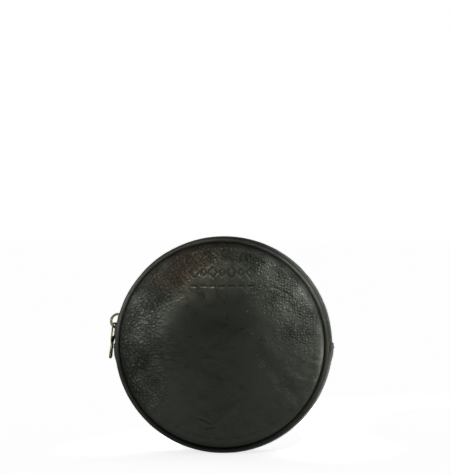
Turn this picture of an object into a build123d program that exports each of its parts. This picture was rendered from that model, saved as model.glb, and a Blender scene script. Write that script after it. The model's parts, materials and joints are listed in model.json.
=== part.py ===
"""Round leather coin purse with a half-round zip, standing on its slightly flattened base.

Millimetres, +Z up. The round front panel faces -Y, and the origin is the middle of the flat that the purse stands on.
Every ring of the purse turns about one axis, which runs front to back through the middle of the round panels.
Pieces that bend when the mouth opens are cut at the fold height: the lower part stays, the upper part leans out.
"""

import os
from math import cos, radians, sin, sqrt

from build123d import *

os.makedirs("parts", exist_ok=True)

# --- Driving dimensions -------------------------------------------------------------------------
CENTRE_Z = 54.1  # height of the purse's axis above the flat that it stands on
TOP_Z = 2 * CENTRE_Z + 10.0  # above everything
BASE_Z = 0.0

GUSSET_RADIUS = 54.8  # outside of the leather base strip at mid depth
GUSSET_EDGE_RADIUS = 54.2  # outside of the strip where it meets the piping
GUSSET_HALF_DEPTH = 9.5
LEATHER = 1.3

PIPING_RADIUS = 52.8  # from the purse's axis to the middle of the piping
PIPING_DEPTH = 10.9  # from mid depth to the middle of the piping
PIPING_TUBE = 1.2
PIPING_BORE = 0.65
PIPING_CORD = 0.6

PANEL_RADIUS = 51.4
PANEL_ROLL_RADIUS = 47.0  # where the flat of the panel starts to roll into its seam
PANEL_CROWN_DEPTH = 13.8  # outside face in the middle
PANEL_CROWN_DROP = 0.45  # the face is lower by this halfway out
PANEL_ROLL_DEPTH = 12.3
PANEL_ROLL_BULGE = (1.1, 0.6)  # a point of the roll: in from the rim, and below the roll depth
PANEL_SEAM_DEPTH = 10.9
PANEL_BACK_DEPTH = 11.3
LINING_RADIUS = 51.0
LINING_DEPTHS = (10.35, 10.75)

TAPE_RADII = (53.7, 54.2)
TAPE_SLIT = 0.5  # half of the slit between the two tapes
COIL_RADII = (52.2, 53.65)
COIL_DEPTHS = (0.6, 2.2)
STRIP_LINING_RADII = (53.1, 53.5)
STRIP_LINING_DEPTHS = (4.3, 9.4)
BASE_LINING_RADII = (52.4, 52.8)

FOLD_Z = CENTRE_Z + 17.5  # the leather bends here when the mouth opens
FOLD_GAP = 0.1
LAP_Z = (CENTRE_Z - 6.0, CENTRE_Z + 1.0)  # folded ends of the base strip, over the ends of the zip
GUSSET_TOP_Z = CENTRE_Z - 3.0
LAP_RADIUS = 55.4
LAP_EDGE_RADIUS = 54.85
LAP_HALF_DEPTH = 9.3
LAP_INNER_RADIUS = 54.3
STOP_Z = (CENTRE_Z + 3.5, CENTRE_Z + 5.5)  # metal stops at both ends of the zip
STOP_PROUD = 0.35  # how far the stops stand out from the tapes
STOP_ROOM = 0.05  # between a stop and the tape that it is clamped on
STOP_SPLIT = 0.12  # half of the gap between the two top stops
COIL_END_Z = CENTRE_Z + 5.6
TAPE_END_Z = GUSSET_TOP_Z + 0.1

SLIDER_ANGLE = 168.0  # where the slider rests, counted from +X towards +Z
SLIDER_LENGTH = 8.5
SLIDER_WIDTH = 6.6
SLIDER_NOSE_WIDTH = 7.2
SLIDER_SHOULDERS = (3.0, 4.6)  # from the nose: where its width starts and stops narrowing
SLIDER_CORNER = 1.0
EDGE_ROUNDING = 0.3
OUTER_PLATE = (54.45, 55.1)
INNER_PLATE = (51.0, 51.8)
FLANGE_TOP = 53.25
FLANGE_INSIDE = 2.5
FLANGE_INSET = 1.7
FLANGE_SHIFT = 1.0  # towards the tail
PLATE_OVERLAP = 0.1  # flanges and post run into the plates by this, to be one piece with them
POST_HALF_WIDTH = 0.28
POST_LENGTH = 2.2
POST_OFFSET = -2.5  # towards the nose
BAIL_CENTRE = 54.8  # the bail is an arch about this height over the purse's axis
BAIL_RADII = (2.95, 4.15)
BAIL_WIDTH = 1.5

PULL_LEAN = 6.6  # degrees off plumb, because the pull hangs against the folded end
PULL_REACH = 2.2  # from the bail's middle to the pull's crossbar
PULL_TWIST = 12.0  # the pull hangs askew in the bail by this
PULL_START = 42.0  # where the crossbar sits in the bail, in degrees from its top
PULL_HEAD_WIDTH = 5.0
PULL_WAIST_WIDTH = 2.3
PULL_TIP_WIDTH = 2.6
PULL_LENGTH = 18.0  # from the crossbar to the tip
PULL_SLOT = (0.4, 6.5)
PULL_SLOT_WIDTH = 3.4
PULL_SLOT_CORNER = 0.6
PULL_HEAD_CORNER = 0.9
PULL_BRIDGE = 1.4  # between the slot and the end of the head
PULL_TAPER = 2.2  # from the end of the head to the waist
PULL_TIP_BEVEL = (1.0, 0.3)  # length and depth
PULL_HEAD_THICK = 0.6
PULL_TIP_THICK = 1.0

STITCH_LENGTH = 1.7
STITCH_PITCH = 2.6
STITCH_THICK = 0.5
STITCH_ROOM = 0.1  # the holes are larger than the thread by this
STITCH_SINK = 0.15  # from the leather's surface to the middle of the thread
STITCHES_PER_LAP = 7
STITCH_Z = CENTRE_Z - 1.5

# --- Frames -------------------------------------------------------------------------------------
PURSE_AXIS = Axis((0, 0, CENTRE_Z), (0, 1, 0))
SECTION = Plane.XY.offset(CENTRE_Z)  # sketches of rings: x is the radius, y is the depth
SIDES = {"front": -1, "back": 1}
SPANS = {"lower": (BASE_Z, FOLD_Z), "upper": (FOLD_Z + FOLD_GAP, TOP_Z)}

OUTWARD = Vector(cos(radians(SLIDER_ANGLE)), 0, sin(radians(SLIDER_ANGLE)))
ALONG = Vector(sin(radians(SLIDER_ANGLE)), 0, -cos(radians(SLIDER_ANGLE)))
SLIDER_PLANE = Plane(origin=(0, 0, CENTRE_Z), x_dir=ALONG, z_dir=OUTWARD)
BAIL_PLANE = Plane(origin=(0, 0, CENTRE_Z), x_dir=ALONG, z_dir=(0, -1, 0))


def finish(builder, name):
    """Labels a finished piece and writes its file."""
    builder.part.label = name
    export_step(builder.part, f"parts/{name}.step")


def keep_between(low, high):
    """Keeps what the current part has between two heights."""
    split(bisect_by=Plane.XY.offset(low), keep=Keep.TOP)
    split(bisect_by=Plane.XY.offset(high), keep=Keep.BOTTOM)


def draw_band(radii, depths, side):
    """A rectangle between two radii and two depths, on one side of mid depth."""
    middle = (sum(radii) / 2, side * sum(depths) / 2)
    with Locations(middle):
        Rectangle(radii[1] - radii[0], depths[1] - depths[0])


# --- Front and back panels and their linings --------------------------------------------------------
def make_panels():
    """Leather discs whose faces are crowned and roll down into the seam."""
    for side_name, side in SIDES.items():
        crown = (0, side * PANEL_CROWN_DEPTH)
        face_mid = (PANEL_ROLL_RADIUS * 0.55, side * (PANEL_CROWN_DEPTH - PANEL_CROWN_DROP))
        roll = (PANEL_ROLL_RADIUS, side * PANEL_ROLL_DEPTH)
        roll_mid = (PANEL_RADIUS - PANEL_ROLL_BULGE[0], side * (PANEL_ROLL_DEPTH - PANEL_ROLL_BULGE[1]))
        seam = (PANEL_RADIUS, side * PANEL_SEAM_DEPTH)
        lip = (PANEL_RADIUS - LEATHER, side * PANEL_SEAM_DEPTH)
        back = (PANEL_ROLL_RADIUS, side * PANEL_BACK_DEPTH)
        for span_name, (low, high) in SPANS.items():
            with BuildPart() as panel:
                with BuildSketch(SECTION):
                    with BuildLine():
                        ThreePointArc(crown, face_mid, roll)
                        ThreePointArc(roll, roll_mid, seam)
                        Polyline(seam, lip, back, (0, side * PANEL_BACK_DEPTH), crown)
                    make_face()
                revolve(axis=PURSE_AXIS)
                keep_between(low, high)
            finish(panel, f"{side_name}_panel_{span_name}")


def make_linings():
    """Thin flat discs behind the panels."""
    for side_name, side in SIDES.items():
        for span_name, (low, high) in SPANS.items():
            with BuildPart() as lining:
                with BuildSketch(SECTION):
                    draw_band((0, LINING_RADIUS), LINING_DEPTHS, side)
                revolve(axis=PURSE_AXIS)
                keep_between(low, high)
            finish(lining, f"{side_name}_lining_{span_name}")


# --- Piping: a leather tube round a cord, at both rims ----------------------------------------------
def make_piping():
    for side_name, side in SIDES.items():
        for span_name, (low, high) in SPANS.items():
            with BuildPart() as skin:
                with BuildSketch(SECTION):
                    with Locations((PIPING_RADIUS, side * PIPING_DEPTH)):
                        Circle(PIPING_TUBE)
                        Circle(PIPING_BORE, mode=Mode.SUBTRACT)
                revolve(axis=PURSE_AXIS)
                keep_between(low, high)
            finish(skin, f"{side_name}_piping_{span_name}")
            with BuildPart() as cord:
                with BuildSketch(SECTION):
                    with Locations((PIPING_RADIUS, side * PIPING_DEPTH)):
                        Circle(PIPING_CORD)
                revolve(axis=PURSE_AXIS)
                keep_between(low, high)
            finish(cord, f"{side_name}_piping_cord_{span_name}")


# --- Base strip with its folded ends, their stitches, and the lining --------------------------------
def stitch_places():
    """The middle of each stitch, flush with the crowned outside of a folded end."""
    rise = LAP_RADIUS - LAP_EDGE_RADIUS
    bend = (LAP_HALF_DEPTH**2 + rise**2) / (2 * rise)
    height = STITCH_Z - CENTRE_Z
    places = []
    for row in (-1, 1):
        for number in range(STITCHES_PER_LAP):
            depth = (number - (STITCHES_PER_LAP - 1) / 2) * STITCH_PITCH
            radius = LAP_RADIUS - bend + sqrt(bend**2 - depth**2)
            reach = sqrt(radius**2 - height**2) - STITCH_SINK
            places.append((row * reach, depth, STITCH_Z))
    return places


def make_base_gusset():
    """A crowned strip round the lower half, and a thicker fold of it over each end of the zip."""
    inner_edge = GUSSET_EDGE_RADIUS - LEATHER
    inner_crown = GUSSET_RADIUS - LEATHER
    with BuildPart() as laps:
        with BuildSketch(SECTION):
            with BuildLine():
                ThreePointArc((LAP_EDGE_RADIUS, -LAP_HALF_DEPTH), (LAP_RADIUS, 0), (LAP_EDGE_RADIUS, LAP_HALF_DEPTH))
                Polyline(
                    (LAP_EDGE_RADIUS, LAP_HALF_DEPTH),
                    (LAP_INNER_RADIUS, LAP_HALF_DEPTH),
                    (LAP_INNER_RADIUS, -LAP_HALF_DEPTH),
                    (LAP_EDGE_RADIUS, -LAP_HALF_DEPTH),
                )
            make_face()
        revolve(axis=PURSE_AXIS)
        keep_between(*LAP_Z)
    with BuildPart() as gusset:
        with BuildSketch(SECTION):
            with BuildLine():
                ThreePointArc(
                    (GUSSET_EDGE_RADIUS, -GUSSET_HALF_DEPTH),
                    (GUSSET_RADIUS, 0),
                    (GUSSET_EDGE_RADIUS, GUSSET_HALF_DEPTH),
                )
                Line((GUSSET_EDGE_RADIUS, GUSSET_HALF_DEPTH), (inner_edge, GUSSET_HALF_DEPTH))
                ThreePointArc((inner_edge, GUSSET_HALF_DEPTH), (inner_crown, 0), (inner_edge, -GUSSET_HALF_DEPTH))
                Line((inner_edge, -GUSSET_HALF_DEPTH), (GUSSET_EDGE_RADIUS, -GUSSET_HALF_DEPTH))
            make_face()
        revolve(axis=PURSE_AXIS)
        keep_between(BASE_Z, GUSSET_TOP_Z)
        add(laps.part)
        with Locations(*stitch_places()):
            Box(
                STITCH_THICK + STITCH_ROOM,
                STITCH_LENGTH + STITCH_ROOM,
                STITCH_THICK + STITCH_ROOM,
                mode=Mode.SUBTRACT,
            )
    finish(gusset, "base_gusset")


def make_stitches():
    with BuildPart() as stitches:
        with Locations(*stitch_places()):
            Box(STITCH_THICK, STITCH_LENGTH, STITCH_THICK)
    finish(stitches, "lap_stitches")


def make_base_lining():
    with BuildPart() as lining:
        with BuildSketch(SECTION):
            middle = sum(BASE_LINING_RADII) / 2
            with Locations((middle, 0)):
                Rectangle(BASE_LINING_RADII[1] - BASE_LINING_RADII[0], 2 * STRIP_LINING_DEPTHS[1])
        revolve(axis=PURSE_AXIS)
        keep_between(BASE_Z, GUSSET_TOP_Z)
    finish(lining, "base_lining")


# --- Zip: tapes, coils, inside strips and stops -----------------------------------------------------
def make_zip_halves(name, radii, depths, end_z):
    """A band along the zip on each side: the arc that leans out with the mouth, and the two ends that stay."""
    spans = {f"{name}": (FOLD_Z + FOLD_GAP, TOP_Z), f"{name}_ends": (end_z, FOLD_Z)}
    for side_name, side in SIDES.items():
        for piece_name, (low, high) in spans.items():
            with BuildPart() as band:
                with BuildSketch(SECTION):
                    draw_band(radii, depths, side)
                revolve(axis=PURSE_AXIS)
                keep_between(low, high)
            finish(band, f"{side_name}_{piece_name}")


def make_stops():
    """Two clamps, one on each tape, where the closed zip ends, and one box that joins the tapes at its start."""
    stop_radii = (COIL_RADII[0], TAPE_RADII[1] + STOP_PROUD)
    tape_room = (TAPE_RADII[0] - STOP_ROOM, TAPE_RADII[1] + STOP_ROOM)
    stops = {"zip_top_stops": (STOP_SPLIT, Keep.BOTTOM), "zip_bottom_stop": (0.0, Keep.TOP)}
    for name, (gap, side_kept) in stops.items():
        with BuildPart() as stop:
            with BuildSketch(SECTION):
                for side in SIDES.values():
                    draw_band(stop_radii, (gap, COIL_DEPTHS[1]), side)
                for side in SIDES.values():
                    middle = (sum(tape_room) / 2, side * (TAPE_SLIT - STOP_ROOM + COIL_DEPTHS[1]) / 2)
                    width = COIL_DEPTHS[1] - TAPE_SLIT + STOP_ROOM
                    with Locations(middle):
                        Rectangle(tape_room[1] - tape_room[0], width, mode=Mode.SUBTRACT)
            revolve(axis=PURSE_AXIS)
            keep_between(*STOP_Z)
            split(bisect_by=Plane.YZ, keep=side_kept)
        finish(stop, name)


# --- Slider, bail and pull --------------------------------------------------------------------------
def make_slider():
    """Two plates joined by a post at the nose, with flanges on the inner one that hold the coils."""
    nose, tail = -SLIDER_LENGTH / 2, SLIDER_LENGTH / 2
    half_nose, half_tail = SLIDER_NOSE_WIDTH / 2, SLIDER_WIDTH / 2
    shoulders = [nose + distance for distance in SLIDER_SHOULDERS]
    flange_width = half_tail - FLANGE_INSIDE
    flange_length = SLIDER_LENGTH - 2 * FLANGE_INSET
    outward = Axis((0, 0, 0), OUTWARD)
    with BuildPart() as slider:
        for low, high in (INNER_PLATE, OUTER_PLATE):
            with BuildSketch(SLIDER_PLANE.offset(low)):
                with BuildLine():
                    Polyline(
                        (nose, -half_nose),
                        (shoulders[0], -half_nose),
                        (shoulders[1], -half_tail),
                        (tail, -half_tail),
                        (tail, half_tail),
                        (shoulders[1], half_tail),
                        (shoulders[0], half_nose),
                        (nose, half_nose),
                        close=True,
                    )
                make_face()
                fillet(vertices(), SLIDER_CORNER)
            extrude(amount=high - low)
        fillet(faces().sort_by(outward)[-1].edges(), EDGE_ROUNDING)
        fillet(faces().sort_by(outward)[0].edges(), EDGE_ROUNDING)
        with BuildSketch(SLIDER_PLANE.offset(INNER_PLATE[1] - PLATE_OVERLAP)):
            for side in SIDES.values():
                with Locations((FLANGE_SHIFT, side * (FLANGE_INSIDE + flange_width / 2))):
                    Rectangle(flange_length, flange_width)
        extrude(amount=FLANGE_TOP - INNER_PLATE[1] + PLATE_OVERLAP)
        with BuildSketch(SLIDER_PLANE.offset(INNER_PLATE[1] - PLATE_OVERLAP)):
            with Locations((POST_OFFSET, 0)):
                SlotOverall(POST_LENGTH, 2 * POST_HALF_WIDTH)
        extrude(amount=OUTER_PLATE[0] - INNER_PLATE[1] + 2 * PLATE_OVERLAP)
    finish(slider, "slider_body")


def make_bail():
    """The arch on the slider that the pull hangs from."""
    foot = OUTER_PLATE[1]
    with BuildPart() as bail:
        with BuildSketch(BAIL_PLANE):
            with Locations((0, BAIL_CENTRE)):
                Circle(BAIL_RADII[1])
                Circle(BAIL_RADII[0], mode=Mode.SUBTRACT)
            with Locations((0, foot)):
                Rectangle(
                    4 * BAIL_RADII[1], 2 * BAIL_RADII[1], align=(Align.CENTER, Align.MAX), mode=Mode.SUBTRACT
                )
        extrude(amount=BAIL_WIDTH / 2, both=True)
        fillet(edges().filter_by(GeomType.CIRCLE), EDGE_ROUNDING)
    finish(bail, "slider_bail")


def pull_plane():
    """The pull's own plane: x runs along it from the crossbar to the tip, y across it, turned a little about x."""
    down = radians(-90 - PULL_LEAN)
    direction = Vector(cos(down), 0, sin(down))
    bail_middle = Vector(0, 0, CENTRE_Z) + OUTWARD * BAIL_CENTRE
    seat = OUTWARD * cos(radians(PULL_START)) - ALONG * sin(radians(PULL_START))
    crossbar = bail_middle + seat * PULL_REACH
    across = Vector(0, 1, 0).rotate(Axis((0, 0, 0), direction), PULL_TWIST)
    return Plane(origin=crossbar, x_dir=direction, z_dir=direction.cross(across))


def make_pull():
    plane = pull_plane()
    head_top = -PULL_SLOT[0]
    head_end = PULL_SLOT[1] + PULL_BRIDGE
    waist = head_end + PULL_TAPER
    tip_radius = PULL_TIP_WIDTH / 2
    side_plane = Plane(origin=plane.origin, x_dir=plane.x_dir, z_dir=-plane.y_dir)
    with BuildPart() as pull:
        with BuildSketch(plane):
            with BuildLine():
                Polyline(
                    (head_end, PULL_HEAD_WIDTH / 2),
                    (head_top, PULL_HEAD_WIDTH / 2),
                    (head_top, -PULL_HEAD_WIDTH / 2),
                    (head_end, -PULL_HEAD_WIDTH / 2),
                    (waist, -PULL_WAIST_WIDTH / 2),
                    (PULL_LENGTH - tip_radius, -tip_radius),
                )
                ThreePointArc(
                    (PULL_LENGTH - tip_radius, -tip_radius),
                    (PULL_LENGTH, 0),
                    (PULL_LENGTH - tip_radius, tip_radius),
                )
                Polyline(
                    (PULL_LENGTH - tip_radius, tip_radius),
                    (waist, PULL_WAIST_WIDTH / 2),
                    (head_end, PULL_HEAD_WIDTH / 2),
                )
            make_face()
            fillet(vertices().group_by(Axis(plane.origin, plane.x_dir))[0], PULL_HEAD_CORNER)
            with Locations((sum(PULL_SLOT) / 2, 0)):
                RectangleRounded(
                    PULL_SLOT[1] - PULL_SLOT[0], PULL_SLOT_WIDTH, PULL_SLOT_CORNER, mode=Mode.SUBTRACT
                )
        extrude(amount=PULL_TIP_THICK, both=True)
        with BuildSketch(side_plane):
            with BuildLine():
                Polyline(
                    (head_top, PULL_HEAD_THICK / 2),
                    (head_end, PULL_HEAD_THICK / 2),
                    (PULL_LENGTH - PULL_TIP_BEVEL[0], PULL_TIP_THICK / 2),
                    (PULL_LENGTH, PULL_TIP_THICK / 2 - PULL_TIP_BEVEL[1]),
                    (PULL_LENGTH, -PULL_TIP_THICK / 2 + PULL_TIP_BEVEL[1]),
                    (PULL_LENGTH - PULL_TIP_BEVEL[0], -PULL_TIP_THICK / 2),
                    (head_end, -PULL_HEAD_THICK / 2),
                    (head_top, -PULL_HEAD_THICK / 2),
                    close=True,
                )
            make_face()
        extrude(amount=PULL_HEAD_WIDTH, both=True, mode=Mode.INTERSECT)
    finish(pull, "pull_tab")


make_panels()
make_linings()
make_piping()
make_base_gusset()
make_stitches()
make_base_lining()
make_zip_halves("zip_tape", TAPE_RADII, (TAPE_SLIT, GUSSET_HALF_DEPTH), TAPE_END_Z)
make_zip_halves("zip_coil", COIL_RADII, COIL_DEPTHS, COIL_END_Z)
make_zip_halves("zip_facing", STRIP_LINING_RADII, STRIP_LINING_DEPTHS, TAPE_END_Z)
make_stops()
make_slider()
make_bail()
make_pull()
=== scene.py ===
import json
import math

import bmesh
import bpy
import numpy as np
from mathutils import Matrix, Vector


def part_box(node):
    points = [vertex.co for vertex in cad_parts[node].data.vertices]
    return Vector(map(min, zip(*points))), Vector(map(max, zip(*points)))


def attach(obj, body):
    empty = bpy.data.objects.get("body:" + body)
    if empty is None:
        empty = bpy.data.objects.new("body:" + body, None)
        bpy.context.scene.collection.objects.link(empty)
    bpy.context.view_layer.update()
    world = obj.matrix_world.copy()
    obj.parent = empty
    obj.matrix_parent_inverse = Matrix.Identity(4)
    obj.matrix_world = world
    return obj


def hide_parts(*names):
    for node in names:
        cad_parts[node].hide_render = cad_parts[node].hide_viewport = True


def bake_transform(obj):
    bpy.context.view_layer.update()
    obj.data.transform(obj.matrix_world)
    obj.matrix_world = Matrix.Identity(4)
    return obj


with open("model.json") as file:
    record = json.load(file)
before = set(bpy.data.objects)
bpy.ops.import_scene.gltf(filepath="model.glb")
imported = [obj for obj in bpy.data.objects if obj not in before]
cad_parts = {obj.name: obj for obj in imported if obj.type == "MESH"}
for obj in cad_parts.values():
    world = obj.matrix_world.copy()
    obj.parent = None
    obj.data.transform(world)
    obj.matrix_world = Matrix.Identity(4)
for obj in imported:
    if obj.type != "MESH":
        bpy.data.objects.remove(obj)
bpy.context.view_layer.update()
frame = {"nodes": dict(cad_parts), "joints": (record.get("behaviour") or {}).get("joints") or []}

MM = 0.001  # shapes are worked out in millimetres and written in metres

# --- Sizes, in millimetres, from the frame and from the leather's own thicknesses ---------------
JOINTS = {joint["name"]: joint for joint in frame["joints"]}
CENTRE_Z = JOINTS["slider_travel"]["pos_m"][2] / MM
SIDES = {"front": -1, "back": 1}


def half_width(node):
    """How far a CAD node reaches to the right of the purse's axis."""
    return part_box(node)[1].x / MM


def depths(node):
    """Depths of a CAD node's two faces from the purse's middle plane, the nearer first."""
    low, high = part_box(node)
    return sorted((abs(low.y) / MM, abs(high.y) / MM))


TUBE = (depths("front_piping_lower")[1] - depths("front_piping_lower")[0]) / 2
PIPING_DEPTH = sum(depths("front_piping_lower")) / 2
PIPING_RADIUS = half_width("front_piping_lower") - TUBE
PANEL_RADIUS = half_width("front_panel_lower") + 0.1
CROWN_DEPTH = depths("front_panel_lower")[1]
LINING_DEPTH = depths("front_lining_lower")[0]
TAPE_RADIUS = half_width("front_zip_tape_ends")
GUSSET_HALF_DEPTH = depths("front_zip_tape_ends")[1]
GUSSET_RADIUS = TAPE_RADIUS + 0.6
LAP_RADIUS = half_width("base_gusset")
LAP_TOP_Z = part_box("base_gusset")[1].z / MM - CENTRE_Z
STITCH_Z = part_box("lap_stitches")[0].z / MM - CENTRE_Z + 0.25
STITCHES_PER_LAP = 7
STITCH_PITCH = 2.6


# --- Repeatable noise -----------------------------------------------------------------------------
def lattice(column, row, seed):
    """A number from 0 to 1 for each whole-numbered place, the same in every run."""
    mixed = (column * 374761393 + row * 668265263 + seed * 362437) & 0xFFFFFFFF
    mixed = ((mixed ^ (mixed >> 13)) * 1274126177) & 0xFFFFFFFF
    return ((mixed ^ (mixed >> 16)) & 0xFFFFF) / 1048575.0


def noise(u, v, size, seed):
    """Gradient noise, about -1 to 1, whose lumps are about size across."""
    x, y = u / size, v / size
    column, row = np.floor(x).astype(np.int64), np.floor(y).astype(np.int64)
    x, y = x - column, y - row
    ease_x, ease_y = (t * t * t * (t * (t * 6 - 15) + 10) for t in (x, y))

    def corner(right, up):
        angle = 2 * np.pi * lattice(column + right, row + up, seed)
        return np.cos(angle) * (x - right) + np.sin(angle) * (y - up)

    low = corner(0, 0) * (1 - ease_x) + corner(1, 0) * ease_x
    high = corner(0, 1) * (1 - ease_x) + corner(1, 1) * ease_x
    return 1.5 * (low * (1 - ease_y) + high * ease_y)


def layered_noise(u, v, size, seed, layers=3):
    """Noise with finer and weaker layers added."""
    total = sum(noise(u, v, size / 2**n, seed + n) / 2**n for n in range(layers))
    return total / sum(1 / 2**n for n in range(layers))


def smoothstep(low, high, value):
    """0 at low and 1 at high, with level ends. low may be the larger of the two."""
    t = np.clip((value - low) / (high - low), 0, 1)
    return t * t * (3 - 2 * t)


def pebbles(u, v, size, seed):
    """Leather grain: 0 in the grooves and 1 on top of the pebbles, which are about size across."""
    bend = 0.5 * size
    x = (u + bend * noise(u, v, 2.2 * size, seed + 7)) / size
    y = (v + bend * noise(u, v, 2.2 * size, seed + 8)) / size
    column, row = np.floor(x).astype(np.int64), np.floor(y).astype(np.int64)
    first = np.full(x.shape, 9.0)
    second = np.full(x.shape, 9.0)
    for right in (-1, 0, 1):
        for up in (-1, 0, 1):
            point_x = column + right + 0.1 + 0.8 * lattice(column + right, row + up, seed)
            point_y = row + up + 0.1 + 0.8 * lattice(column + right, row + up, seed + 1)
            distance = np.hypot(point_x - x, point_y - y)
            second = np.minimum(second, np.maximum(first, distance))
            first = np.minimum(first, distance)
    return smoothstep(0.0, 0.8, second - first)


def crinkles(u, v, size, seed):
    """Worn leather: 1 in thin wandering grooves about size apart, 0 between them."""
    bent_u = u + 0.7 * size * noise(u, v, 2.5 * size, seed + 3)
    bent_v = v + 0.7 * size * noise(u, v, 2.5 * size, seed + 4)
    first = smoothstep(0.3, 0.0, np.abs(noise(bent_u, bent_v, size, seed)))
    second = smoothstep(0.3, 0.0, np.abs(noise(bent_u, bent_v, 0.8 * size, seed + 1)))
    return np.maximum(first, second)


def crease(u, v, start, end, width, bow=0.0):
    """1 along a line from start to end that bows sideways, fading to 0 at its ends and over its width."""
    along = np.subtract(end, start)
    length = np.hypot(*along)
    along = along / length
    t = ((u - start[0]) * along[0] + (v - start[1]) * along[1]) / length
    across = (u - start[0]) * -along[1] + (v - start[1]) * along[0] - 4 * bow * t * (1 - t)
    fade = smoothstep(0, 0.25, t) * smoothstep(1, 0.7, t)
    return fade * np.exp(-((across / width) ** 2))


def spot(u, v, centre, radii):
    """1 in the middle of an oval, fading to 0 at its edge."""
    distance = np.hypot((u - centre[0]) / radii[0], (v - centre[1]) / radii[1])
    return smoothstep(1, 0, distance)


# --- Meshes ---------------------------------------------------------------------------------------
def new_piece(name, points, faces, material, flat=None, masks=None):
    """A smooth mesh from points in millimetres. flat gives each point's place on the uncut material."""
    mesh = bpy.data.meshes.new(name)
    mesh.from_pydata((np.asarray(points) * MM).tolist(), [], [tuple(face) for face in faces])
    mesh.update()
    mesh.polygons.foreach_set("use_smooth", np.ones(len(mesh.polygons), bool))
    if flat is not None:
        layer = mesh.attributes.new("flat", "FLOAT_VECTOR", "POINT")
        layer.data.foreach_set("vector", np.asarray(flat, np.float32).ravel())
    for mask_name, values in (masks or {}).items():
        layer = mesh.attributes.new(mask_name, "FLOAT", "POINT")
        layer.data.foreach_set("value", np.asarray(values, np.float32).ravel())
    mesh.materials.append(material)
    piece = bpy.data.objects.new(name, mesh)
    bpy.context.scene.collection.objects.link(piece)
    return piece


def outward(piece):
    """Makes the faces of a closed mesh look outward."""
    work = bmesh.new()
    work.from_mesh(piece.data)
    bmesh.ops.recalc_face_normals(work, faces=work.faces)
    work.to_mesh(piece.data)
    work.free()


def place(radius, angle, depth):
    """A point of a ring about the purse's axis; the angle counts from +X towards +Z."""
    x = radius * np.cos(angle)
    z = CENTRE_Z + radius * np.sin(angle)
    return np.stack(np.broadcast_arrays(x, depth, z), axis=-1)


def grid_faces(rows, columns, wrap_rows=False, wrap_columns=False, start=0):
    """Quads between neighbouring points of a grid, optionally closed into a tube or a ring."""
    row = np.arange(rows if wrap_rows else rows - 1)
    column = np.arange(columns if wrap_columns else columns - 1)
    row, column = np.meshgrid(row, column, indexing="ij")
    next_row, next_column = (row + 1) % rows, (column + 1) % columns
    corners = [row * columns + column, next_row * columns + column]
    corners += [next_row * columns + next_column, row * columns + next_column]
    return (np.stack(corners, axis=-1).reshape(-1, 4) + start).tolist()


def capped_tube(rings, sides, start=0):
    """Faces of a tube made of closed rings of points, with a cap on each end."""
    faces = grid_faces(rings, sides, wrap_columns=True, start=start)
    faces.append([start + n for n in range(sides)])
    faces.append([start + (rings - 1) * sides + n for n in reversed(range(sides))])
    return faces


def strip(name, angles, section, material, masks=None):
    """A closed strip round the purse. section holds an outline of (radius, depth) points for each angle."""
    count, sides = section.shape[:2]
    points = place(section[..., 0], angles[:, None], section[..., 1])
    arc = np.broadcast_to(angles[:, None] * GUSSET_RADIUS, section.shape[:2])
    flat = np.stack([arc, section[..., 1], section[..., 0] - GUSSET_RADIUS], axis=-1)
    faces = capped_tube(count, sides)
    piece = new_piece(name, points.reshape(-1, 3), faces, material, flat.reshape(-1, 3), masks)
    outward(piece)
    return piece


# --- Materials ------------------------------------------------------------------------------------
class Shader:
    """A Principled material with short ways to add nodes."""

    def __init__(self, name, **values):
        self.material = bpy.data.materials.new(name)
        self.material.use_nodes = True
        self.tree = self.material.node_tree
        self.surface = self.tree.nodes["Principled BSDF"]
        for socket, value in values.items():
            self.surface.inputs[socket.replace("_", " ")].default_value = value

    def add(self, kind, inputs=None, **settings):
        node = self.tree.nodes.new(kind)
        for key, value in settings.items():
            setattr(node, key, value)
        for key, value in (inputs or {}).items():
            if isinstance(value, bpy.types.NodeSocket):
                self.tree.links.new(value, node.inputs[key])
            else:
                node.inputs[key].default_value = value
        return node

    def flat(self):
        return self.add("ShaderNodeAttribute", attribute_name="flat").outputs["Vector"]

    def mask(self, name):
        return self.add("ShaderNodeAttribute", attribute_name=name).outputs["Fac"]

    def noise(self, vector, scale, detail=3.0, roughness=0.55):
        values = {"Vector": vector, "Scale": scale, "Detail": detail, "Roughness": roughness}
        return self.add("ShaderNodeTexNoise", values).outputs["Fac"]

    def cells(self, vector, scale):
        values = {"Vector": vector, "Scale": scale}
        return self.add("ShaderNodeTexVoronoi", values, feature="DISTANCE_TO_EDGE").outputs["Distance"]

    def math(self, operation, first, second=0.5, third=0.5):
        return self.add("ShaderNodeMath", {0: first, 1: second, 2: third}, operation=operation).outputs[0]

    def ramp(self, value, stops):
        """Colours or greys along a value: a list of (position, colour)."""
        ramp = self.add("ShaderNodeValToRGB", {"Fac": value})
        elements = ramp.color_ramp.elements
        while len(elements) < len(stops):
            elements.new(0.5)
        for element, (position, colour) in zip(elements, stops):
            element.position = position
            element.color = (*colour, 1) if isinstance(colour, tuple) else (colour, colour, colour, 1)
        return ramp.outputs["Color"]

    def mix(self, factor, first, second, blend="MIX"):
        node = self.add("ShaderNodeMix", {"Factor": factor}, data_type="RGBA", blend_type=blend)
        for socket, value in (("A", first), ("B", second)):
            target = next(i for i in node.inputs if i.name == socket and i.type == "RGBA")
            if isinstance(value, bpy.types.NodeSocket):
                self.tree.links.new(value, target)
            else:
                target.default_value = (*value, 1)
        return next(o for o in node.outputs if o.type == "RGBA")

    def bump(self, height, distance, strength=1.0, after=None):
        values = {"Height": height, "Distance": distance * MM, "Strength": strength}
        if after is not None:
            values["Normal"] = after
        return self.add("ShaderNodeBump", values).outputs["Normal"]

    def connect(self, socket, value):
        self.tree.links.new(value, self.surface.inputs[socket])


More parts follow.
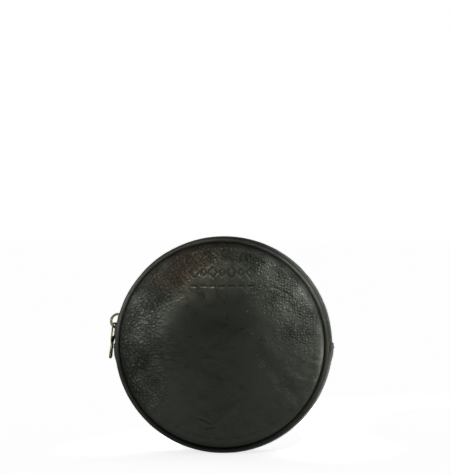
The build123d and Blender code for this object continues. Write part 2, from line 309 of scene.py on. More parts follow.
def leather(name, dark, light, warm, grain, grain_depth, gloss, shine=0.5):
    """Grained leather: its colour drifts between three tones, grooves are dull, edges are rubbed. Painted
    shade darkens the grooves and the seam and turns down the reflection in the grooves; where the panel's
    warm mask is, the warm tone is a painted warm reflection.
    grain and grain_depth are the pebbles' size and height, gloss the roughness, and shine the reflection."""
    shader = Shader(name, IOR=1.38)
    flat = shader.flat()
    drift = shader.noise(flat, 0.06, 4.0)
    colour = shader.ramp(drift, [(0.35, dark), (0.62, light)])
    # The warm mask tints the colour: a painted warm reflection on the panel, a warm tone on the piping and
    # the base strip.
    colour = shader.mix(shader.mask("warm"), colour, warm)
    fine = shader.noise(flat, 1.6, 5.0, 0.7)
    mottle = shader.ramp(fine, [(0.3, 0.72), (0.7, 1.0)])
    colour = shader.mix(1.0, colour, mottle, "MULTIPLY")
    cells = shader.cells(flat, 1 / grain)
    # Painted shade: the colour is darkened at the edges of the grain's cells, and still more where the groove
    # mask is.
    groove = shader.ramp(cells, [(0.0, 0.6), (0.16, 1.0)])
    colour = shader.mix(1.0, colour, groove, "MULTIPLY")
    groove_shade = shader.math("MULTIPLY", shader.mask("groove"), 0.75)
    colour = shader.mix(groove_shade, colour, (0.0015, 0.0015, 0.0013))
    # Painted shade: the seam mask darkens the rim of the panel inside the piping.
    seam = shader.mask("seam")
    colour = shader.mix(seam, colour, (0.003, 0.003, 0.003))
    colour = shader.mix(shader.mask("wear"), colour, (0.06, 0.056, 0.042))
    shader.connect("Base Color", colour)
    patches = shader.noise(flat, 0.22, 4.0)
    rough = shader.ramp(patches, [(0.3, gloss - 0.06), (0.7, gloss + 0.08)])
    rough = shader.math("MULTIPLY_ADD", shader.mask("groove"), 0.2, rough)
    # The warm mask also tints the highlights: a painted warm reflection on the panel.
    shader.connect("Specular Tint", shader.mix(shader.mask("warm"), (0.94, 1.0, 0.87), (1.0, 0.76, 0.56)))
    # Painted shade: the reflection is turned down in the grooves and between the pebbles.
    shaded = shader.math("MULTIPLY_ADD", shader.mask("groove"), -0.84 * shine, shine)
    between = shader.ramp(cells, [(0.0, 0.45), (0.14, 0.0)])
    between = shader.math("MULTIPLY", between, shader.mask("grain"))
    open_part = shader.math("SUBTRACT", 1.0, between)
    shader.connect("Specular IOR Level", shader.math("MULTIPLY", shaded, open_part))
    shader.connect("Roughness", shader.math("MULTIPLY_ADD", seam, 0.35, rough))
    pebble = shader.ramp(cells, [(0.0, 0.0), (0.2, 0.6), (0.5, 1.0)])
    pebble = shader.math("MULTIPLY", pebble, shader.mask("grain"))
    normal = shader.bump(pebble, grain_depth)
    wander = shader.math("ABSOLUTE", shader.math("SUBTRACT", shader.noise(flat, 0.95, 1.0), 0.5))
    squiggle = shader.ramp(wander, [(0.0, 0.0), (0.035, 0.7), (0.09, 1.0)])
    only_grained = shader.ramp(shader.mask("grain"), [(0.3, 0.0), (0.6, 1.0)])
    squiggle = shader.math("MULTIPLY", squiggle, only_grained)
    normal = shader.bump(squiggle, 0.05, 1.0, normal)
    wrinkle = shader.noise(flat, 0.9, 6.0, 0.65)
    normal = shader.bump(wrinkle, 0.08, 0.8, normal)
    pores = shader.noise(flat, 7.0, 2.0)
    normal = shader.bump(pores, 0.02, 0.8, normal)
    shader.connect("Normal", normal)
    return shader.material


def woven(name, colour, light, thread, depth, diagonal):
    """Cloth: two sets of threads that pass over each other, as a plain weave or a herringbone."""
    shader = Shader(name, Roughness=0.85, Specular_IOR_Level=0.2, Sheen_Weight=0.02, Sheen_Roughness=0.5)
    flat = shader.flat()
    split = shader.add("ShaderNodeSeparateXYZ", {0: flat})
    along, across = split.outputs["X"], split.outputs["Y"]
    if diagonal:
        zigzag = shader.math("PINGPONG", across, 1.1)
        along = shader.math("ADD", along, zigzag)
    turn = 2 * math.pi / thread
    warp = shader.math("SINE", shader.math("MULTIPLY", along, turn), 0.0)
    weft = shader.math("SINE", shader.math("MULTIPLY", across, turn), 0.0)
    weave = shader.math("MULTIPLY_ADD", shader.math("MULTIPLY", warp, weft), 0.5)
    height = shader.math("ADD", weave, shader.math("MULTIPLY", warp, 0.35))
    fuzz = shader.noise(flat, 5.0, 3.0)
    tone = shader.ramp(fuzz, [(0.3, colour), (0.75, light)])
    shade = shader.ramp(shader.math("MULTIPLY_ADD", height, 0.4), [(0.1, 0.55), (0.8, 1.0)])
    shader.connect("Base Color", shader.mix(1.0, tone, shade, "MULTIPLY"))
    shader.connect("Normal", shader.bump(fuzz, 0.05, 0.7, shader.bump(height, depth)))
    return shader.material


def antique_brass():
    """Brass with a brown patina in patches, brighter and smoother where it is rubbed."""
    shader = Shader("antique_brass", Metallic=1.0)
    where = shader.add("ShaderNodeTexCoord").outputs["Object"]
    patches = shader.noise(where, 420.0, 5.0, 0.6)
    colour = shader.ramp(
        patches, [(0.30, (0.014, 0.0135, 0.006)), (0.52, (0.036, 0.034, 0.015)), (0.75, (0.12, 0.108, 0.05))]
    )
    specks = shader.noise(where, 2600.0, 3.0)
    colour = shader.mix(1.0, colour, shader.ramp(specks, [(0.35, 0.65), (0.6, 1.0)]), "MULTIPLY")
    shader.connect("Base Color", colour)
    shader.connect("Roughness", shader.ramp(patches, [(0.3, 0.55), (0.7, 0.36)]))
    scratches = shader.add("ShaderNodeMapping", {"Vector": where, "Scale": (300, 300, 4200)})
    lines = shader.noise(scratches.outputs["Vector"], 1.0, 4.0)
    normal = shader.bump(lines, 0.02, 0.6, shader.bump(specks, 0.03, 0.7))
    shader.connect("Normal", normal)
    return shader.material


def nylon():
    """Black nylon wire, a little scuffed."""
    shader = Shader("coil_nylon", IOR=1.53)
    flat = shader.flat()
    scuffs = shader.noise(flat, 2.5, 4.0)
    colour = shader.ramp(scuffs, [(0.35, (0.012, 0.012, 0.013)), (0.75, (0.045, 0.044, 0.043))])
    shader.connect("Base Color", colour)
    shader.connect("Roughness", shader.ramp(scuffs, [(0.3, 0.28), (0.7, 0.5)]))
    shader.connect("Normal", shader.bump(shader.noise(flat, 9.0, 2.0), 0.02, 0.5))
    return shader.material


def thread():
    """Waxed thread with a slanting twist."""
    shader = Shader("waxed_thread", Roughness=0.6, Sheen_Weight=0.1)
    flat = shader.flat()
    wave = {"Vector": flat, "Scale": 0.9, "Distortion": 0.4}
    twist = shader.add("ShaderNodeTexWave", wave, bands_direction="DIAGONAL").outputs["Fac"]
    colour = shader.ramp(twist, [(0.2, (0.008, 0.0075, 0.007)), (0.8, (0.03, 0.028, 0.025))])
    shader.connect("Base Color", colour)
    shader.connect("Normal", shader.bump(twist, 0.06))
    return shader.material


PANEL_LEATHER = leather(
    "panel_leather", dark=(0.0056, 0.0072, 0.0044), light=(0.0095, 0.012, 0.0075),
    warm=(0.024, 0.0145, 0.0095), grain=0.9, grain_depth=0.06, gloss=0.30,
)
PIPING_LEATHER = leather(
    "piping_leather", dark=(0.009, 0.0108, 0.0082), light=(0.0138, 0.016, 0.012), warm=(0.03, 0.016, 0.01),
    grain=0.7, grain_depth=0.03, gloss=0.50, shine=0.2,
)
GUSSET_LEATHER = leather(
    "gusset_leather", dark=(0.0115, 0.0138, 0.0105), light=(0.018, 0.021, 0.0162), warm=(0.03, 0.02, 0.015),
    grain=0.9, grain_depth=0.04, gloss=0.44, shine=0.4,
)
TAPE_CLOTH = woven("zip_tape_cloth", (0.005, 0.006, 0.0046), (0.011, 0.013, 0.010), 0.55, 0.09, True)
LINING_CLOTH = woven("lining_cloth", (0.02, 0.0205, 0.022), (0.04, 0.04, 0.042), 0.4, 0.05, False)
BRASS = antique_brass()
NYLON = nylon()
THREAD = thread()


# --- Discs: the leather panels and their linings ---------------------------------------------------
FINE = 271  # points across a panel
COARSE = 91  # points across the simulated cloth: (FINE - 1) / (COARSE - 1) is whole
SIMULATED_SCALE = 10
ORNAMENT_MIDDLE = (0.3, 33.6)  # right of and above the panel's middle
ORNAMENT_PITCH = 4.7
PANEL_INSIDE_DEPTH = 11.5


def disc_grid(count):
    """A square grid bent onto the unit disc."""
    across = np.linspace(-1, 1, count)
    u, v = np.meshgrid(across, across, indexing="ij")
    return u * np.sqrt(1 - v * v / 2), v * np.sqrt(1 - u * u / 2)


def rim_order(count):
    """Indices of the points round the rim of a disc grid, in order."""
    last = count - 1
    walk = [(n, 0) for n in range(last)] + [(last, n) for n in range(last)]
    walk += [(last - n, last) for n in range(last)] + [(0, last - n) for n in range(last)]
    return [i * count + j for i, j in walk]


def simulate_disc(slack, bending, pressure, seed, frames=14):
    """Cloth cut a little too large for its rim, blown out: its wrinkles' heights on the coarse grid.
    The simulation runs larger than the real size, which suits Blender's cloth."""
    big = SIMULATED_SCALE * PANEL_RADIUS * MM
    u, v = disc_grid(COARSE)
    radius = np.hypot(u, v)
    height = 0.012 * (1 - radius**2) + 0.0016 * noise(u, v, 0.16, seed) * (1 - radius**2)
    points = np.stack([u * big, -height * SIMULATED_SCALE * 0.35, v * big], axis=-1).reshape(-1, 3)
    mesh = bpy.data.meshes.new("cloth")
    mesh.from_pydata(points.tolist(), [], grid_faces(COARSE, COARSE))
    cloth = bpy.data.objects.new("cloth", mesh)
    scene = bpy.context.scene
    scene.collection.objects.link(cloth)
    held = cloth.vertex_groups.new(name="held")
    held.add(np.flatnonzero(radius.ravel() > 0.985).tolist(), 1.0, "REPLACE")
    modifier = cloth.modifiers.new("cloth", "CLOTH")
    settings = modifier.settings
    settings.quality = 5
    settings.mass = 0.2
    settings.tension_stiffness = 30
    settings.compression_stiffness = 30
    settings.shear_stiffness = 20
    settings.bending_stiffness = bending
    settings.vertex_group_mass = "held"
    settings.shrink_min = -slack
    settings.use_pressure = True
    settings.uniform_pressure_force = pressure
    settings.effector_weights.gravity = 0
    modifier.point_cache.frame_start = 1
    modifier.point_cache.frame_end = frames
    for number in range(1, frames + 1):
        scene.frame_set(number)
    settled = cloth.evaluated_get(bpy.context.evaluated_depsgraph_get())
    after = np.array([vertex.co for vertex in settled.data.vertices])
    moved = (points[:, 1] - after[:, 1]) / (SIMULATED_SCALE * MM)
    bpy.data.objects.remove(cloth)
    bpy.data.meshes.remove(mesh)
    scene.frame_set(1)
    return moved.reshape(COARSE, COARSE), radius


def wrinkles(slack, bending, pressure, seed, cap):
    """The simulated wrinkles on the fine grid in millimetres, without the swelling they all share."""
    moved, radius = simulate_disc(slack, bending, pressure, seed)
    bands = 30
    band = np.clip((radius * bands).astype(int), 0, bands)
    mean = np.array([moved[band == n].mean() if (band == n).any() else 0.0 for n in range(bands + 1)])
    uneven = moved - np.interp(radius, (np.arange(bands + 1) + 0.5) / bands, mean)
    uneven = cap * np.tanh(uneven / cap)
    where = np.linspace(0, COARSE - 1, FINE)
    low = np.clip(np.floor(where).astype(int), 0, COARSE - 2)
    part = smoothstep(0, 1, where - low)
    rows = uneven[low] * (1 - part)[:, None] + uneven[low + 1] * part[:, None]
    fine = rows[:, low] * (1 - part) + rows[:, low + 1] * part
    soft = np.pad(fine, 1, mode="edge")
    return (soft[:-2, 1:-1] + soft[2:, 1:-1] + soft[1:-1, :-2] + soft[1:-1, 2:] + 2 * fine) / 6


def panel_depth(radius):
    """Outside face of a panel: nearly flat in the middle, then rolled over into the seam."""
    roll_start = PANEL_RADIUS - 5.2
    crown = CROWN_DEPTH - 1.5 * np.minimum(radius / roll_start, 1) ** 2.2
    t = np.clip((radius - roll_start) / (PANEL_RADIUS - roll_start), 0, 1)
    drop = crown - (PIPING_DEPTH - 0.1)
    return crown - drop * (1 - np.sqrt(np.maximum(1 - t**2.3, 0)))


def ornament(u, v):
    """A pressed row of lozenges over a row of short dashes."""
    u, v = u - ORNAMENT_MIDDLE[0], v - ORNAMENT_MIDDLE[1]
    lozenge_row, dash_row = 2.8, -3.9
    pressed = np.zeros(u.shape)
    for column in range(-3, 4):
        from_middle = np.abs(u - ORNAMENT_PITCH * column)
        size = 2.5 if column % 2 else 1.7
        outline = from_middle / 0.9 + np.abs(v - lozenge_row) - size
        pressed = np.maximum(pressed, smoothstep(0.6, 0.2, np.abs(outline)))
        dash = smoothstep(0.6, 0.25, np.abs(v - dash_row)) * smoothstep(1.7, 1.2, from_middle)
        pressed = np.maximum(pressed, dash)
    return pressed


def front_marks(u, v):
    """What use has left on the front: fine creases from the left rim, a long soft one at the lower right."""
    drawn_in = spot(u, v, (-36, -4), (25, 22)) * crinkles(0.2 * u + 0.04 * v, v, 1.8, 61)
    broken = 0.55 + 0.45 * layered_noise(u, v, 3.2, 71)
    height = -0.22 * broken * crease(u, v, (13, 4), (42, -30), 2.4, -1.6)
    height += 0.2 * broken * crease(u, v, (16, 8), (47, -25), 3.0, -1.6)
    cracked = spot(u, v, (20, -4), (10, 12)) + spot(u, v, (34, -20), (11, 11))
    cracked = cracked + 0.6 * spot(u, v, (27, -12), (14, 14))
    cracked = np.clip(cracked, 0, 1) * crinkles(u + 0.3 * v, v, 1.5, 75)
    scuffs = crease(u, v, (-13, -36), (-4, -40), 0.5, 0.5) + crease(u, v, (-10, -41.6), (-1.5, -40.4), 0.4)
    scuffs += crease(u, v, (22, 30), (38, 22), 0.6, 1.2) + crease(u, v, (-44, 22), (-33, 33), 0.6, -0.8)
    pressed = ornament(u, v)
    height -= 0.13 * drawn_in + 0.12 * cracked + 0.16 * scuffs + 0.34 * pressed
    # The second value goes into the groove mask, which paints shade into the creases, crinkles and ornament.
    return height, np.clip(0.75 * drawn_in + 0.45 * cracked + 0.6 * pressed, 0, 1)


def back_marks(u, v):
    """A few soft creases on the back."""
    height = -0.18 * crease(u, v, (-38, 18), (-10, 30), 1.4, 2.0)
    height -= 0.16 * crease(u, v, (12, -34), (40, -12), 1.3, -2.0)
    height -= 0.12 * crease(u, v, (30, 26), (46, 8), 0.8, 1.0)
    cracked = spot(u, v, (-25, 24), (18, 12)) * crinkles(u, v, 1.6, 83)
    # The second value goes into the groove mask, which paints shade into the crinkles.
    return height - 0.1 * cracked, 0.5 * cracked


def grained_part(u, v, side_name, seed):
    """How strongly the leather is grained: more near the rim, less at the ornament."""
    radius = np.hypot(u, v)
    around = np.degrees(np.arctan2(v, u)) % 360
    left = smoothstep(75, 100, around) * smoothstep(240, 195, around) * smoothstep(27, 42, radius)
    turned = (around + 180) % 360 - 180
    right = smoothstep(-12, 12, turned) * smoothstep(100, 75, turned) * smoothstep(18, 38, radius)
    lower_right = smoothstep(-75, -45, turned) * smoothstep(10, -15, turned) * smoothstep(25, 42, radius)
    patchy = 1 + 0.5 * noise(u, v, 9.0, seed + 15)
    grained = 0.05 + 0.95 * np.clip((left + 0.9 * right + 0.35 * lower_right) * patchy, 0, 1)
    if side_name == "front":
        grained *= 1 - 0.7 * np.clip(2 * spot(u, v, ORNAMENT_MIDDLE, (25, 11)), 0, 1)
    return grained


def make_panel(side_name, marks, seed):
    """A leather panel: simulated unevenness, marks of use, grain near the rim, and its edge turned in."""
    side = SIDES[side_name]
    u, v = (PANEL_RADIUS * axis for axis in disc_grid(FINE))
    radius = np.hypot(u, v)
    inside = smoothstep(PANEL_RADIUS, PANEL_RADIUS - 3, radius)
    grained = grained_part(u, v, side_name, seed)
    height = 0.36 * wrinkles(0.02, 1.5, 1.2, seed, 0.45) * inside
    marked, marked_lines = marks(u, v)
    height += marked * inside
    height += 0.06 * layered_noise(u, v, 15.0, seed + 20) * inside
    height += 0.05 * layered_noise(u, v, 3.0, seed + 30, 2) * inside
    rim_fade = 0.25 + 0.75 * inside
    drawn_out = pebbles(0.45 * (u + v), 0.71 * (v - u), 1.3, seed + 40)
    even = pebbles(u, v, 1.3, seed + 40)
    stones = drawn_out + (even - drawn_out) * smoothstep(-8, 8, u)
    coarser_left = 0.18 + 0.2 * smoothstep(8, -16, u)
    height += coarser_left * grained * (stones - 0.6) * rim_fade
    lines = np.maximum(smoothstep(0.55, 0.1, stones), 0.8 * crinkles(u, v, 2.1, seed + 43))
    grooves = np.clip(1.2 * grained - 0.3, 0, 1) * lines
    height -= 0.07 * grooves * rim_fade
    grooves = np.maximum(grooves, marked_lines)
    face_depth = panel_depth(radius) + height
    face = np.stack([u, side * face_depth, CENTRE_Z + v], axis=-1).reshape(-1, 3)
    rim = rim_order(FINE)
    angle = np.arctan2(v.ravel()[rim], u.ravel()[rim])
    gather = 0.05 * noise(angle * PANEL_RADIUS, angle * 0, 2.2, seed + 50)
    turned_in = [(0.25, 10.55), (0.1, 10.3), (-0.5, 10.35), (-1.0, 10.85), (-3.0, 11.1), (-12.0, 11.35)]
    turned_in.append((-32.0, PANEL_INSIDE_DEPTH))
    rings = [
        place(PANEL_RADIUS + out + (gather if out > 0 else 0), angle, side * depth)
        for out, depth in turned_in
    ]
    points = np.concatenate([face, *rings, [[0, side * PANEL_INSIDE_DEPTH, CENTRE_Z]]])
    count = len(rim)
    faces = grid_faces(FINE, FINE)
    first_points = [len(face) + n * count for n in range(len(rings))]
    loops = [rim] + [list(range(first, first + count)) for first in first_points]
    for outer, inner in zip(loops, loops[1:]):
        faces += [(outer[n], outer[(n + 1) % count], inner[(n + 1) % count], inner[n]) for n in range(count)]
    centre = len(points) - 1
    faces += [(loops[-1][n], loops[-1][(n + 1) % count], centre) for n in range(count)]
    flat = np.stack([points[:, 0], points[:, 2] - CENTRE_Z, points[:, 1] * 0.3], axis=-1)
    where_u, where_v = flat[:, 0], flat[:, 1]
    from_rim = np.abs(np.hypot(where_u, where_v) - (PANEL_RADIUS - 1.2))
    patches = layered_noise(where_u, where_v, 5.0, seed + 60)
    rubbed = smoothstep(1.4, 0.2, from_rim) * smoothstep(0.2, 0.7, patches)
    grain = np.ones(len(points))
    grain[: u.size] = grained.ravel()
    # Painted warm reflection: a warm tint on the colour and the highlights at the top left, weaker at the
    # upper right.
    warm = 0.85 * spot(where_u, where_v, (-19, 38), (28, 20))
    warm = warm + 0.15 * spot(where_u, where_v, (26, 20), (20, 16))
    warm *= (0.7 + 0.5 * noise(where_u, where_v, 6.0, seed + 70)) * (0.35 + 0.65 * grain)
    # groove: painted shade in the grain's grooves and in the marks' lines.
    groove = np.zeros(len(points))
    groove[: u.size] = grooves.ravel()
    # Painted shade of the piping on the rolled edge, left off on the right, where the light falls.
    seam = 0.9 * smoothstep(PANEL_RADIUS - 3.4, PANEL_RADIUS - 1.2, np.hypot(where_u, where_v))
    towards_right = np.degrees(np.arctan2(where_v, where_u))
    seam *= 1 - 0.9 * smoothstep(-75, -50, towards_right) * smoothstep(30, 10, towards_right)
    wear = np.clip(0.12 * rubbed, 0, 1)
    masks = {"warm": np.clip(warm, 0, 1), "wear": wear, "grain": grain, "seam": seam, "groove": groove}
    panel = new_piece(f"{side_name}_panel", points, faces, PANEL_LEATHER, flat, masks)
    outward(panel)
    finish_soft(panel, side_name, "panel_leather", f"{side_name}_panel_lower", f"{side_name}_panel_upper")


def finish_soft(piece, side_name, slot, *nodes):
    """A soft piece bakes its place into its mesh and hides the CAD nodes it stands for."""
    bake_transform(piece)
    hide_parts(*nodes)


def make_lining(side_name, seed):
    """A thin slack disc of cloth behind the leather, with its wrinkles inward."""
    side = SIDES[side_name]
    radius_out = PANEL_RADIUS - 0.8
    u, v = (radius_out * axis for axis in disc_grid(FINE))
    u, v = u[::2, ::2], v[::2, ::2]
    radius = np.hypot(u, v)
    inside = smoothstep(radius_out, radius_out - 4, radius)
    folds = wrinkles(0.05, 0.3, 1.5, seed, 0.9)[::2, ::2]
    inward = 0.9 + folds + 0.35 * layered_noise(u, v, 11.0, seed + 5)
    inner = LINING_DEPTH - 0.1 - np.maximum(inward, 0.1) * inside
    thick = 0.3
    sheets = [
        np.stack([u, side * depth, CENTRE_Z + v], axis=-1).reshape(-1, 3) for depth in (inner, inner + thick)
    ]
    count = u.shape[0]
    faces = grid_faces(count, count) + grid_faces(count, count, start=count * count)
    rim = rim_order(count)
    far = [count * count + n for n in rim]
    size = len(rim)
    faces += [(rim[n], rim[(n + 1) % size], far[(n + 1) % size], far[n]) for n in range(size)]
    points = np.concatenate(sheets)
    flat = np.stack([points[:, 0], points[:, 2] - CENTRE_Z, 0 * points[:, 0]], axis=-1)
    lining = new_piece(f"{side_name}_lining", points, faces, LINING_CLOTH, flat)
    outward(lining)
    finish_soft(lining, side_name, "lining_fabric", f"{side_name}_lining_lower", f"{side_name}_lining_upper")


# --- Piping ---------------------------------------------------------------------------------------
def make_piping(side_name, seed):
    """Thin leather round a cord, all round the rim, with small gathers."""
    side = SIDES[side_name]
    rings, sides = 840, 24
    around = np.linspace(0, 2 * np.pi, rings, endpoint=False)[:, None]
    tube = np.linspace(0, 2 * np.pi, sides, endpoint=False)[None, :]
    arc = around * PIPING_RADIUS + 0 * tube
    girth = TUBE * tube + 0 * around
    swell = 0.035 * noise(arc, girth, 1.3, seed) + 0.05 * noise(arc, 0 * arc, 9.0, seed + 1)
    swell += 0.03 * np.minimum(np.cos(arc * 2 * np.pi / 2.4 + 1.2 * np.sin(tube)), 0) * (np.cos(tube) < 0.2)
    radius = PIPING_RADIUS + (TUBE + swell) * np.cos(tube)
    depth = side * (PIPING_DEPTH + (TUBE + swell) * np.sin(tube))
    points = place(radius, around, depth).reshape(-1, 3)
    flat = np.stack([arc, girth, 0 * arc], axis=-1).reshape(-1, 3)
    # Lighter and warmer on the outer face of the tube towards the right.
    rightward = smoothstep(0.55, 1.0, np.cos(around)) * smoothstep(-0.2, 0.7, np.cos(tube))
    right_outer_face = rightward * smoothstep(-0.3, 0.5, layered_noise(arc, girth, 6.0, seed + 2))
    masks = {"warm": 0.5 * right_outer_face, "wear": 0.12 * right_outer_face, "grain": 0.5 + 0 * right_outer_face}
    faces = grid_faces(rings, sides, wrap_rows=True, wrap_columns=True)
    piping = new_piece(f"{side_name}_piping", points, faces, PIPING_LEATHER, flat, masks)
    outward(piping)
    names = [f"{side_name}_piping_{part}" for part in ("lower", "upper", "cord_lower", "cord_upper")]
    finish_soft(piping, side_name, "piping_leather", *names)


# --- Base strip -----------------------------------------------------------------------------------
CROWN_POINTS = 47  # points across the outside face of the strip


def stitch_row_angles():
    """Angles of the two rows of stitches, right and left."""
    angle = STITCH_Z / LAP_RADIUS
    return angle, -math.pi - angle


def rounded_outline(outer, inner, half, tuck):
    """A strip's section: crowned outside face, edges turned in under the piping, and the inside face."""
    across = np.linspace(-1, 1, CROWN_POINTS)
    crown = (outer[0] - outer[1]) * (1 - across**2)
    outside = [(outer[1] + c, a * (half - 0.35)) for c, a in zip(crown, across)]
    right = [(outer[1] - 0.25, half), (outer[1] - 0.7, half + tuck), (inner + 0.1, half + tuck)]
    inside = [(inner, (half - 0.3) * a) for a in np.linspace(1, -1, 13)]
    left = [(radius, -depth) for radius, depth in reversed(right)]
    return np.array(outside + right + inside + left)


def make_gusset(seed):
    """The leather strip round the base. Each end is folded under, so it is thicker, rounded and sewn down."""
    end_angle = math.asin(LAP_TOP_Z / LAP_RADIUS)
    angles = np.linspace(end_angle, -math.pi - end_angle, 470)
    section = rounded_outline((GUSSET_RADIUS, TAPE_RADIUS), TAPE_RADIUS - 1.25, GUSSET_HALF_DEPTH, 0.3)
    section = np.repeat(section[None], len(angles), axis=0)
    from_end = GUSSET_RADIUS * np.minimum(end_angle - angles, angles + math.pi + end_angle)[:, None]
    outside = np.zeros(section.shape[1], bool)
    outside[:CROWN_POINTS] = True
    lap = smoothstep(11.0, 5.5, from_end)
    end_round = 1.15
    rounding = end_round * (1 - np.sqrt(np.clip(1 - (1 - np.clip(from_end / end_round, 0, 1)) ** 2, 0, 1)))
    arc = angles[:, None] * GUSSET_RADIUS + 0 * section[..., 1]
    depth = section[..., 1]
    bumps = 0.05 * (pebbles(arc, depth, 1.5, seed) - 0.6) + 0.12 * layered_noise(arc, depth, 9.0, seed + 3)
    bumps -= 0.04 * smoothstep(0.75, 0.25, np.abs(depth / GUSSET_HALF_DEPTH)) * lap
    lift = (LAP_RADIUS - GUSSET_RADIUS) * lap + bumps * smoothstep(0, 1.5, from_end)
    for row_angle in stitch_row_angles():
        along = (angles[:, None] - row_angle) * LAP_RADIUS
        lift -= 0.12 * np.exp(-((along / 0.7) ** 2)) * smoothstep(9.2, 8.6, np.abs(depth))
        for number in range(STITCHES_PER_LAP + 1):
            hole = (number - STITCHES_PER_LAP / 2) * STITCH_PITCH
            lift -= 0.35 * np.exp(-(along**2 + (depth - hole) ** 2) / 0.16)
    section[..., 0] += np.where(outside, lift - rounding, 0)
    under_lap = smoothstep(6.2, 4.6, from_end)
    inner = TAPE_RADIUS + 0.06
    section[..., 0] = np.where(~outside, np.maximum(section[..., 0], inner * under_lap), section[..., 0])
    lowest = section[:, :CROWN_POINTS, 0].min(axis=1, keepdims=True)
    section[:, CROWN_POINTS:, 0] = np.minimum(section[:, CROWN_POINTS:, 0], lowest)
    rightward, upward = np.cos(angles)[:, None], np.sin(angles)[:, None]
    floor_radius = CENTRE_Z / np.maximum(-upward, 1e-3) - 0.02
    section[..., 0] = np.where(upward < -0.5, np.minimum(section[..., 0], floor_radius), section[..., 0])
    flat_rub = smoothstep(14, 4, np.abs(section[..., 0] * rightward)) * (upward < 0)
    edge_rub = smoothstep(1.6, 0.3, from_end) * outside[None, :]
    wear = 0.25 * flat_rub * smoothstep(0.0, 0.6, layered_noise(arc, depth, 2.5, seed + 9)) + 0.3 * edge_rub
    warm = 0.08 + 0.25 * layered_noise(arc, depth, 14.0, seed + 5)
    masks = {"warm": np.clip(warm, 0, 1), "wear": np.clip(wear, 0, 1), "grain": np.full(depth.shape, 0.5)}
    gusset = strip("base_gusset_leather", angles, section, GUSSET_LEATHER, masks)
    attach(gusset, "root")
    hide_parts("base_gusset")


def make_stitches():
    """Short thread stitches that dip into their holes, across both folded ends."""
    points, faces, flat = [], [], []
    rings, sides, half_length, twist = 9, 8, 1.12, 0.18
    for row_angle in stitch_row_angles():
        for number in range(STITCHES_PER_LAP):
            middle = (number - (STITCHES_PER_LAP - 1) / 2) * STITCH_PITCH
            start = len(points)
            for ring in range(rings):
                t = 2 * ring / (rings - 1) - 1
                thick = 0.24 * math.sqrt(max(0.0, 1 - t**6)) + 0.03
                surface = LAP_RADIUS - 0.5 * (middle / GUSSET_HALF_DEPTH) ** 2
                radius = surface + 0.05 - 0.45 * abs(t) ** 3
                for n in range(sides):
                    a = 2 * math.pi * n / sides
                    angle = row_angle + (thick * math.cos(a) + twist * t) / LAP_RADIUS
                    points.append(place(radius + thick * math.sin(a), angle, middle + half_length * t))
                    flat.append((half_length * t, thick * a, 0))
            faces += capped_tube(rings, sides, start)
    stitches = new_piece("lap_thread", points, faces, THREAD, flat)
    outward(stitches)
    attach(stitches, "root")
    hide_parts("lap_stitches")


def make_base_lining(seed):
    """Cloth inside the base strip."""
    radius, half, count = 52.6, 9.3, 30
    end_angle = math.asin(-4.0 / GUSSET_RADIUS)
    angles = np.linspace(end_angle, -math.pi - end_angle, 300)
    across = np.linspace(-1, 1, count)
    outside = np.stack([0 * across, across * half], axis=-1)
    outline = np.concatenate([outside, outside[::-1]])
    section = np.repeat(outline[None], len(angles), axis=0)
    arc = angles[:, None] * GUSSET_RADIUS + 0 * section[..., 1]
    folds = 0.25 * layered_noise(arc * 0.4, section[..., 1], 4.0, seed)
    folds = folds - 0.5 * (1 - (section[..., 1] / half) ** 2)
    section[..., 0] = radius + folds
    section[:, count:, 0] -= 0.25
    lining = strip("base_lining_cloth", angles, section, LINING_CLOTH)
    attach(lining, "root")
    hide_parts("base_lining")


# --- Zip ------------------------------------------------------------------------------------------
ZIP_END_Z = LAP_TOP_Z - 3.6  # the tapes run in under the folded ends


def zip_angles(step, end_z=ZIP_END_Z, radius=TAPE_RADIUS):
    """Angles along the zip from right to left, about step millimetres apart."""
    end = math.asin(end_z / radius)
    count = int((math.pi - 2 * end) * radius / step)
    return np.linspace(end, math.pi - end, count)


def make_tape(side_name, seed):
    """Half of the zip's woven tape, from the slit in the middle to the seam under the piping."""
    side = SIDES[side_name]
    angles = zip_angles(0.45)
    inner_edge, coil_edge = 0.34, 2.5
    across = np.concatenate([[inner_edge, inner_edge + 0.12], np.linspace(0.7, GUSSET_HALF_DEPTH - 0.2, 26)])
    ridge = 0.12 * smoothstep(coil_edge + 0.5, coil_edge - 0.4, across) - 0.18 * (across < inner_edge + 0.05)
    outside = np.stack([TAPE_RADIUS + ridge, across], axis=-1)
    seam = np.array([TAPE_RADIUS, GUSSET_HALF_DEPTH])
    tucked = seam + [[-0.3, 0.1], [-0.9, 0.32], [-1.1, 0.25], [-0.55, -0.3]]
    inside = np.stack([TAPE_RADIUS - 0.5 + 0 * across[::3], across[::3][::-1]], axis=-1)
    outline = np.concatenate([outside, tucked, inside])
    section = np.repeat(outline[None], len(angles), axis=0)
    arc = angles[:, None] * TAPE_RADIUS + 0 * section[..., 1]
    depth = section[..., 1]
    edge = smoothstep(coil_edge, GUSSET_HALF_DEPTH - 1, depth)
    wave = 0.10 * noise(arc, 0 * arc, 14.0, seed) + 0.07 * noise(arc, depth, 5.0, seed + 1)
    section[..., 0] += wave * smoothstep(0, 1, edge * 4 * (1 - 0.75 * edge) + 0.2)
    section[..., 1] *= side
    tape = strip(f"{side_name}_tape", angles, section, TAPE_CLOTH)
    finish_soft(tape, side_name, "zip_tape", f"{side_name}_zip_tape", f"{side_name}_zip_tape_ends")


